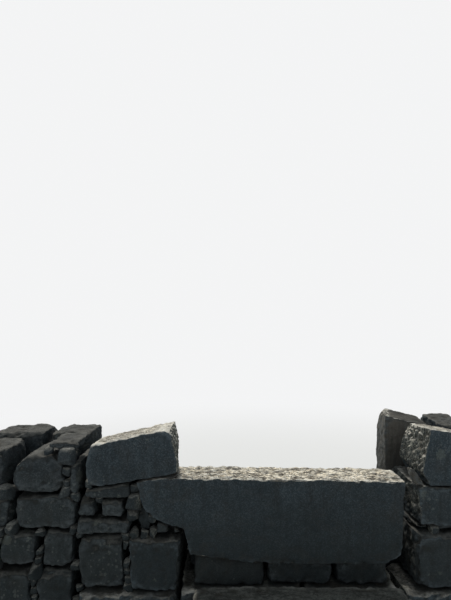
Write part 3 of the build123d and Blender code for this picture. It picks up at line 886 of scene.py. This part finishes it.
# %% Rubbed and sunlit cheeks
cheeks, given, out = group("rubbed_and_sunlit_cheeks", {"Place": VECTOR}, {"Mask": FLOAT, "Vein": FLOAT})
along = axis(cheeks, given["Place"], 0)
turned = axis(cheeks, new_node(cheeks, "ShaderNodeNewGeometry").outputs["Normal"], 0)
to_middle = times(cheeks, maths(cheeks, "SIGN", along), times(cheeks, turned, -1.0))
off_centre = maths(cheeks, "ABSOLUTE", along)
beside = times(cheeks, ramp(cheeks, off_centre, 0.48, 0.495), ramp(cheeks, off_centre, 0.70, 0.66))
left_on = ramp(cheeks, noise_at(cheeks, given["Place"], 55.0, 6.0, 0.65), 0.36, 0.60, 0.35, 1.0)
facing = times(cheeks, ramp(cheeks, to_middle, 0.25, 0.75), left_on)
cheeks.links.new(times(cheeks, facing, beside), out["Mask"])
upright = stretched(cheeks, given["Place"], (1.0, 1.2, 0.5))
cheeks.links.new(threads(cheeks, upright, (58.0, 0.045), (120.0, 0.060), (2.0, 0.55), 0.6), out["Vein"])
print("group:", cheeks.name, "with", len(cheeks.nodes), "nodes")

# %% [markdown]
# Lichen. It grows in colonies of many sizes with frilled edges, crowded in some places and absent in
# others. Voronoi cells give the colonies, a chance number per cell their size, slow noise the
# crowding and fast noise the frill.

# %% Lichen crust
lichen, given, out = group("lichen_crust", {"Place": VECTOR, "Scale": FLOAT, "Cover": FLOAT}, {"Mask": FLOAT})
colonies = new_node(lichen, "ShaderNodeTexVoronoi", {"Vector": given["Place"], "Scale": given["Scale"]})
chance = new_node(lichen, "ShaderNodeSeparateColor", {0: colonies.outputs["Color"]}).outputs[0]
crowding = ramp(lichen, noise_at(lichen, given["Place"], 5.5, 3.0), 0.42, 0.66)
size = times(lichen, times(lichen, chance, crowding), given["Cover"])
frill = times(lichen, off_middle(lichen, given["Place"], 110.0, 6.0, 0.7), 0.9)
inside = maths(lichen, "ADD", maths(lichen, "SUBTRACT", size, colonies.outputs["Distance"]), frill)
lichen.links.new(ramp(lichen, inside, 0.0, 0.12), out["Mask"])
print("group:", lichen.name, "with", len(lichen.nodes), "nodes")

# %% [markdown]
# Cracks. Frost opens granite along its bedding, which in the slab runs lengthwise. The edges of
# Voronoi cells that are drawn out along X give long wavering lines, and noise breaks them up.

# %% Lengthwise cracks
cracks, given, out = group("bedding_cracks", {"Place": VECTOR, "Width": FLOAT}, {"Mask": FLOAT})
wave = grey(cracks, times(cracks, off_middle(cracks, given["Place"], 24.0, 4.0), 0.03))
bent = new_node(cracks, "ShaderNodeVectorMath", {0: given["Place"], 1: wave}, operation="ADD").outputs[0]
drawn = {"Vector": stretched(cracks, bent, (6.0, 44.0, 44.0)), "Scale": 1.0}
to_edge = new_node(cracks, "ShaderNodeTexVoronoi", drawn, feature="DISTANCE_TO_EDGE").outputs[0]
open_here = ramp(cracks, noise_at(cracks, given["Place"], 14.0, 3.0), 0.40, 0.58)
width = maths(cracks, "ADD", times(cracks, given["Width"], open_here), 0.0005)
thin = new_node(cracks, "ShaderNodeMapRange", {0: to_edge, 1: 0.0, 2: width, 3: 1.0, 4: 0.0}).outputs[0]
cracks.links.new(times(cracks, thin, open_here), out["Mask"])
print("groups:", [g.name for g in bpy.data.node_groups])

# %% [markdown]
# The finish of a stone lays these masks over each other, in the order in which they came to the real
# stone. First come its sides: the granite, painted darker as in shade, iron brown on a few stones,
# painted lighter as if skylit, rain streaks, damp from the ground with painted shade, darkest towards
# the bottom, and worn arrises with a painted highlight. A photograph of granite can't know where each
# stone has worn.

# %% Sides of a stone
SIDE_MICA, TOP_MICA = (0.025, 0.027, 0.030), (0.13, 0.11, 0.09)
SIDE_RUST, TOP_RUST_SHARES = (0.060, 0.054, 0.045), (0.8, 0.68, 0.5)
SIDE_CLOUDS, TOP_CLOUDS = 0.40, 1.00
# Iron brown of the upright and wedge, painted lighter than the slate as if skylight fell on them.
IRON_BROWN_SKYLIT = (0.130, 0.112, 0.088)
RAIN_BLACK = (0.020, 0.021, 0.020)
# Damp colour, which also paints shade low on the stones.
DAMP_AND_SHADE_BLACK = (0.016, 0.021, 0.020)


def read_stone(tree):
    """The place of each point, and the four numbers that the mesh carries there, by name."""
    stone = new_node(tree, "ShaderNodeAttribute", attribute_name="stone").outputs
    arris, hollow, tone = new_node(tree, "ShaderNodeSeparateColor", {0: stone["Color"]}).outputs
    place = new_node(tree, "ShaderNodeTexCoord").outputs["Object"]
    return {"place": place, "arris": arris, "hollow": hollow, "tone": tone, "bleached_and_lit": stone["Alpha"]}


def grain_of(tree, place, colours, mica, rust, clouds):
    """The granite group with a pair of base and pale colours, and mica, rust and clouds of its own."""
    named = {"Base": colours[0], "Pale": colours[1], "Mica": mica, "Rust": rust}
    values = {key: (*colour, 1) for key, colour in named.items()}
    return used(tree, granite, {"Place": place, "Contrast": 0.55, "Clouds": clouds} | values)


def toned(tree, colour, tone, dark, light):
    """The colour times a grey from dark to light, by the stone's own tone."""
    return colour_mix(tree, 1.0, colour, grey(tree, ramp(tree, tone, 0.0, 1.0, dark, light)), "MULTIPLY")


def side_colour(tree, at, grain, pale, damp_shade_height, streak):
    """The grain toned, browned and on brown stones painted lighter as if skylit, streaked dark and pale by
    rain, darkened by damp and painted shade below a wandering height, and worn pale in patches along its
    arrises, partly as a painted highlight."""
    place = at["place"]
    colour = toned(tree, grain["Color"], at["tone"], 0.78, 1.20)
    colour = colour_mix(tree, ramp(tree, at["tone"], 0.5, BROWN_TONE, 0.0, 0.75), colour, IRON_BROWN_SKYLIT)
    rain = noise_at(tree, stretched(tree, place, (1.0, 1.0, 0.10)), 34.0, 6.0, 0.6)
    colour = colour_mix(tree, ramp(tree, rain, 0.50, 0.72, 0.0, streak), colour, RAIN_BLACK)
    colour = colour_mix(tree, ramp(tree, rain, 0.46, 0.30, 0.0, streak * 0.35), colour, pale)
    height = maths(tree, "ADD", axis(tree, place, 2), times(tree, off_middle(tree, place, 8.0, 4.0), 0.35))
    # Damp and painted shade: darker towards the bottom.
    colour = colour_mix(tree, ramp(tree, height, damp_shade_height - 0.65, damp_shade_height, 0.70, 0.0), colour, DAMP_AND_SHADE_BLACK)
    # Pale patches along the arrises: wear, and a painted highlight where the arris catches light.
    patches = ramp(tree, noise_at(tree, place, 45.0, 4.0), 0.35, 0.65, 0.0, 0.55)
    return colour_mix(tree, times(tree, ramp(tree, at["arris"], 0.35, 0.95), patches), colour, pale)


# %% [markdown]
# Next comes what the gap and the sky do. The cheeks are rubbed raw and painted paler, as if the sun
# grazed them. What looks up grows a dark crust on a stone that hasn't bleached, which also paints shade
# there, and on one that has a pale skin, painted sunlit, with crumbs and crevices whose dark is partly
# painted shadow. The arrises of bleached stones are knocked to a bright rim that is also a painted
# highlight, of which brown stones show only flecks.

# %% Cheeks, tops and rims of a stone
# Raw cheek stone and pale veins: rubbed stone, painted paler as if the sun grazed it.
RAW_SUNLIT_STONE = (0.095, 0.096, 0.080)
SUNLIT_VEIN = (0.50, 0.49, 0.41)
# Dark crust colour, which also paints shade on the tops of stones that haven't bleached.
DARK_CRUST_AND_SHADE = (0.014, 0.015, 0.013)
# Crevice colour, dark partly as painted shadow.
CREVICE_SHADE = (0.060, 0.050, 0.037)
# Pale rim colour: wear, and a painted highlight where an arris catches light.
RIM_HIGHLIGHT = (0.90, 0.86, 0.75)


def with_sunlit_cheeks(tree, at, colour):
    """The colour with raw stone and veins on the cheeks, paler by rubbing and by painted sunlight, and the masks
    of the cheeks and of their veins.
    """
    rubbed_and_lit = used(tree, cheeks, {"Place": at["place"]})
    raw = times(tree, rubbed_and_lit["Mask"], ramp(tree, at["bleached_and_lit"], 0.1, 0.6, 0.08, 0.72))
    colour = colour_mix(tree, raw, colour, RAW_SUNLIT_STONE)
    vein = times(tree, rubbed_and_lit["Vein"], rubbed_and_lit["Mask"])
    vein = times(tree, vein, ramp(tree, at["bleached_and_lit"], 0.1, 0.6, 0.05, 0.90))
    return colour_mix(tree, vein, colour, SUNLIT_VEIN), rubbed_and_lit["Mask"], vein


def with_top(tree, at, colour, top, masks):
    """The colour with the dark crust, also painted shade, and the bleached skin, also painted sunlight, over it,
    how white that skin is, and its crevices, partly painted shadow.
    """
    # Painted shade: the tops of unbleached stones are darkened with the crust colour.
    darkened = times(tree, masks["CrustAndShade"], ramp(tree, at["bleached_and_lit"], 0.45, 0.05, 0.0, 0.88))
    colour = colour_mix(tree, darkened, colour, DARK_CRUST_AND_SHADE)
    rust = tuple(base * share for base, share in zip(top[0], TOP_RUST_SHARES))
    grain = grain_of(tree, at["place"], top, TOP_MICA, rust, TOP_CLOUDS)
    skin = toned(tree, grain["Color"], at["tone"], 0.94, 1.08)
    crumbled = used(tree, crumbs, {"Place": at["place"]})
    skin = colour_mix(tree, times(tree, crumbled["Crumb"], 0.65), skin, top[1])
    # Dark crevices in the skin, partly painted shadow.
    skin = colour_mix(tree, times(tree, crumbled["Crevice"], 0.92), skin, CREVICE_SHADE)
    # Pale skin on what looks up: bleached stone, and painted sunlight.
    whitened_and_sunlit = times(tree, masks["Mask"], at["bleached_and_lit"])
    return colour_mix(tree, whitened_and_sunlit, colour, skin), whitened_and_sunlit, times(tree, crumbled["Crevice"], whitened_and_sunlit)


def with_rim_highlights(tree, at, colour, brow):
    """The colour with pale rims along the upper arrises, worn and painted as highlights, in patches on bleached
    stones, in flecks on brown.
    """
    flecks = ramp(tree, noise_at(tree, at["place"], 70.0, 5.0, 0.65), 0.44, 0.58)
    flecks = times(tree, ramp(tree, at["arris"], 0.40, 0.72), flecks)
    brown_rim_glints = times(tree, ramp(tree, at["tone"], 1.0, BROWN_TONE, 0.0, 0.75), flecks)
    share = maths(tree, "MAXIMUM", ramp(tree, at["bleached_and_lit"], 0.25, 0.90, 0.06, 1.0), brown_rim_glints)
    patches = ramp(tree, noise_at(tree, at["place"], 32.0, 4.0), 0.36, 0.56, 0.45, 1.0)
    # Rim share: wear, and a painted highlight where the arris catches light.
    worn = times(tree, times(tree, brow, share), patches)
    return colour_mix(tree, times(tree, ramp(tree, at["arris"], 0.24, 0.55, 0.0, 0.90), worn), colour, RIM_HIGHLIGHT)


# %% [markdown]
# Lichen, cracks and dirt lie over all of it. Dirt gathers in the hollows and shows most on the pale
# parts, because the dark ones hide it, and the dark in the hollows is also painted shade.

# %% Lichen, cracks, and dirt and painted shade on a stone
LICHENS = ((15.0, 0.95, 0.20, (0.20, 0.22, 0.18)), (52.0, 1.00, 0.13, (0.30, 0.32, 0.28)))
CRACK_WIDTH, CRACK_ON_SIDE, CRACK_BROWN = 0.16, 0.12, (0.060, 0.050, 0.040)
# Dirt colour, which also paints shade in the hollows.
DIRT_AND_SHADE = (0.040, 0.036, 0.028)


def with_lichen(tree, at, colour, amount):
    """The colour with large and then small lichen over it, and the mask of the small lichen."""
    for scale, cover, share, tint in LICHENS:
        crust = used(tree, lichen, {"Place": at["place"], "Scale": scale, "Cover": cover * amount})["Mask"]
        colour = colour_mix(tree, times(tree, crust, share), colour, tint)
    return colour, crust


def with_cracks(tree, at, colour, amount, mask):
    """The colour with cracks, in full on the bleached skin and faint elsewhere, and where they are."""
    split = used(tree, cracks, {"Place": at["place"], "Width": CRACK_WIDTH})["Mask"]
    split = times(tree, split, ramp(tree, mask, 0.0, 1.0, amount * CRACK_ON_SIDE, amount))
    return colour_mix(tree, split, colour, CRACK_BROWN), split


def with_dirt_and_shade(tree, at, colour, exposed):
    """The colour with dirt and painted shade in its hollows."""
    # Dirt and painted shade gather in the hollows.
    dirt_and_shade = times(tree, ramp(tree, at["hollow"], 0.20, 0.80), ramp(tree, exposed, 0.0, 1.0, 0.15, 0.66))
    return colour_mix(tree, dirt_and_shade, colour, DIRT_AND_SHADE)


# %% [markdown]
# The mesh has squares of five millimetres and more, so what is finer is bump. It reads the same
# masks as the colour, so the light picks them out: crevices and cracks lie deep, veins and lichen
# stand up, and the bleached skin is lumpy where the sides are only pitted.

# %% The whole finish
CRYSTAL_HEIGHT, LICHEN_HEIGHT, VEIN_HEIGHT = 0.12, 0.10, 0.5
CREVICE_DEPTH, CRACK_DEPTH = 0.9, 0.8


def stone_finish(name, side, top, damp_shade_height, streak, lichen_cover, up_range, crack):
    """A granite finish. side and top are pairs of base and pale colours, the sides painted darker as in
    shade and the tops lighter as in sun; the third number is the height in metres that ground damp and
    painted shade reach, streak and lichen_cover how strong those are, up_range where bleaching and
    painted sunlight start and are full, and crack how much the cracks show."""
    material = bpy.data.materials.new(name)
    tree = blank_tree(material)
    at = read_stone(tree)
    place = at["place"]
    grain = grain_of(tree, place, side, SIDE_MICA, SIDE_RUST, SIDE_CLOUDS)
    masks = used(tree, bleach_and_light, {"Place": place, "From": up_range[0], "Full": up_range[1]})
    colour = side_colour(tree, at, grain, side[1], damp_shade_height, streak)
    colour, cheek, vein = with_sunlit_cheeks(tree, at, colour)
    colour, whitened_and_sunlit, crevice = with_top(tree, at, colour, top, masks)
    colour = with_rim_highlights(tree, at, colour, masks["Brow"])
    colour, crust = with_lichen(tree, at, colour, lichen_cover)
    heights = [(grain["Crystal"], CRYSTAL_HEIGHT), (crust, LICHEN_HEIGHT), (crevice, -CREVICE_DEPTH),
               (vein, VEIN_HEIGHT)]
    if crack:
        colour, split = with_cracks(tree, at, colour, crack, masks["Mask"])
        heights.append((split, -CRACK_DEPTH))
    colour = with_dirt_and_shade(tree, at, colour, maths(tree, "MAXIMUM", masks["Mask"], cheek))
    pits = noise_at(tree, place, 190.0, 8.0, 0.7)
    lumps = noise_at(tree, stretched(tree, place, (0.6, 1.0, 1.0)), 52.0, 6.0, 0.6)
    relief = maths(tree, "ADD", times(tree, pits, ramp(tree, whitened_and_sunlit, 0.1, 0.7, 0.55, 0.22)),
                   times(tree, lumps, ramp(tree, whitened_and_sunlit, 0.1, 0.7, 0.45, 1.2)))
    for mask, height in heights:
        relief = maths(tree, "ADD", relief, times(tree, mask, height))
    bump = new_node(tree, "ShaderNodeBump", {"Strength": 0.85, "Distance": 0.006, "Height": relief}).outputs[0]
    values = {"Base Color": colour, "Roughness": ramp(tree, pits, 0.3, 0.7, 0.80, 0.96), "Normal": bump,
              "Specular IOR Level": 0.25}
    shader = new_node(tree, "ShaderNodeBsdfPrincipled", values)
    new_node(tree, "ShaderNodeOutputMaterial", {"Surface": shader.outputs[0]})
    return material


# %% Finishes of this stile
# Side colours: granite painted darker and bluer, as in shade.
SLATE_IN_SHADE = ((0.034, 0.048, 0.056), (0.104, 0.128, 0.140))
DARK_SLATE_IN_SHADE = ((0.027, 0.036, 0.040), (0.088, 0.102, 0.106))
# Top colours: bleached granite painted lighter, as in sunlight.
BRIGHT_CREAM = ((0.56, 0.50, 0.39), (0.86, 0.82, 0.72))
BLEACHED_AND_SUNLIT = ((0.92, 0.81, 0.61), (0.99, 0.95, 0.84))
CREAM = ((0.20, 0.195, 0.165), (0.52, 0.505, 0.44))
DULL_CREAM = ((0.15, 0.150, 0.122), (0.38, 0.375, 0.32))
FINISHES = {
    "slab": stone_finish("slab_granite", SLATE_IN_SHADE, BLEACHED_AND_SUNLIT, 1.05, 0.40, 0.30, (0.35, 0.75), 0.85),
    "step": stone_finish("step_granite", DARK_SLATE_IN_SHADE, DULL_CREAM, 1.00, 0.35, 0.35, (0.45, 0.95), 0.25),
    "block": stone_finish("block_granite", SLATE_IN_SHADE, BRIGHT_CREAM, 1.05, 0.5, 0.45, (0.35, 0.85), 0.25),
    "rubble": stone_finish("rubble_granite", DARK_SLATE_IN_SHADE, CREAM, 1.05, 0.5, 0.60, (0.40, 0.95), 0.0),
}
for node_name, piece in dressed.items():
    piece.data.materials.append(FINISHES[kind_of(node_name)])
for piece in pinnings.values():
    piece.data.materials.append(FINISHES["rubble"])
print("finishes:", list(FINISHES))

# %% [markdown]
# The stile stands in a plain pale studio. The photograph's sun is ahead and a little left, so the key
# light stands there too: it falls on the tops, and the sides towards the camera are lit by the sky.
# The floor turns into the background's own colour with distance, so that no horizon shows.

# %% Floor
FLOOR_HALF = 40.0
FLOOR_GREY = (0.80, 0.80, 0.79, 1)
BACKDROP = (0.90, 0.905, 0.91, 1)

floor_mesh = bpy.data.meshes.new("floor")
floor_corners = [(x * FLOOR_HALF, y * FLOOR_HALF, 0) for x, y in ((-1, -1), (1, -1), (1, 1), (-1, 1))]
floor_mesh.from_pydata(floor_corners, [], [(0, 1, 2, 3)])
floor = bpy.data.objects.new("floor", floor_mesh)
bpy.context.scene.collection.objects.link(floor)

floor_material = bpy.data.materials.new("floor")
tree = blank_tree(floor_material)
place = new_node(tree, "ShaderNodeTexCoord").outputs["Object"]
distance = new_node(tree, "ShaderNodeVectorMath", {0: place}, operation="LENGTH").outputs["Value"]
seen = new_node(tree, "ShaderNodeLightPath").outputs["Is Camera Ray"]
share = times(tree, ramp(tree, distance, 2.2, 6.0), seen)
matt = new_node(tree, "ShaderNodeBsdfDiffuse", {"Color": FLOOR_GREY})
glow = new_node(tree, "ShaderNodeEmission", {"Color": BACKDROP, "Strength": 1.0})
mixed = new_node(tree, "ShaderNodeMixShader", {0: share, 1: matt.outputs[0], 2: glow.outputs[0]})
new_node(tree, "ShaderNodeOutputMaterial", {"Surface": mixed.outputs[0]})
floor_mesh.materials.append(floor_material)
print("floor:", 2 * FLOOR_HALF, "m wide")

# %% Sky and lights
SKY, SKY_STRENGTH = (0.84, 0.92, 1.0, 1), 0.46

world = bpy.data.worlds.new("studio")
bpy.context.scene.world = world
tree = blank_tree(world)
sky = new_node(tree, "ShaderNodeBackground", {"Color": SKY, "Strength": SKY_STRENGTH})
plain = new_node(tree, "ShaderNodeBackground", {"Color": BACKDROP, "Strength": 1.0})
seen = new_node(tree, "ShaderNodeLightPath").outputs["Is Camera Ray"]
mixed = new_node(tree, "ShaderNodeMixShader", {0: seen, 1: sky.outputs[0], 2: plain.outputs[0]})
new_node(tree, "ShaderNodeOutputWorld", {"Surface": mixed.outputs[0]})


def sun(name, azimuth, elevation, strength, soft, colour):
    """A sun lamp that shines from an azimuth, where 0 is ahead along +Y and 90 to the right, and an elevation,
    in degrees. soft is the angle that it spans in the sky."""
    data = bpy.data.lights.new(name, "SUN")
    data.energy, data.angle, data.color = strength, math.radians(soft), colour
    lamp = bpy.data.objects.new(name, data)
    lamp.rotation_euler = (math.radians(elevation - 90), 0, math.radians(-azimuth))
    bpy.context.scene.collection.objects.link(lamp)


sun("key", -10, 36, 3.0, 4, (1.0, 0.95, 0.87))
sun("fill", 205, 40, 0.15, 40, (0.90, 0.94, 1.0))
bpy.context.scene.view_settings.view_transform = "Standard"
print("lights:", [light.name for light in bpy.data.lights])
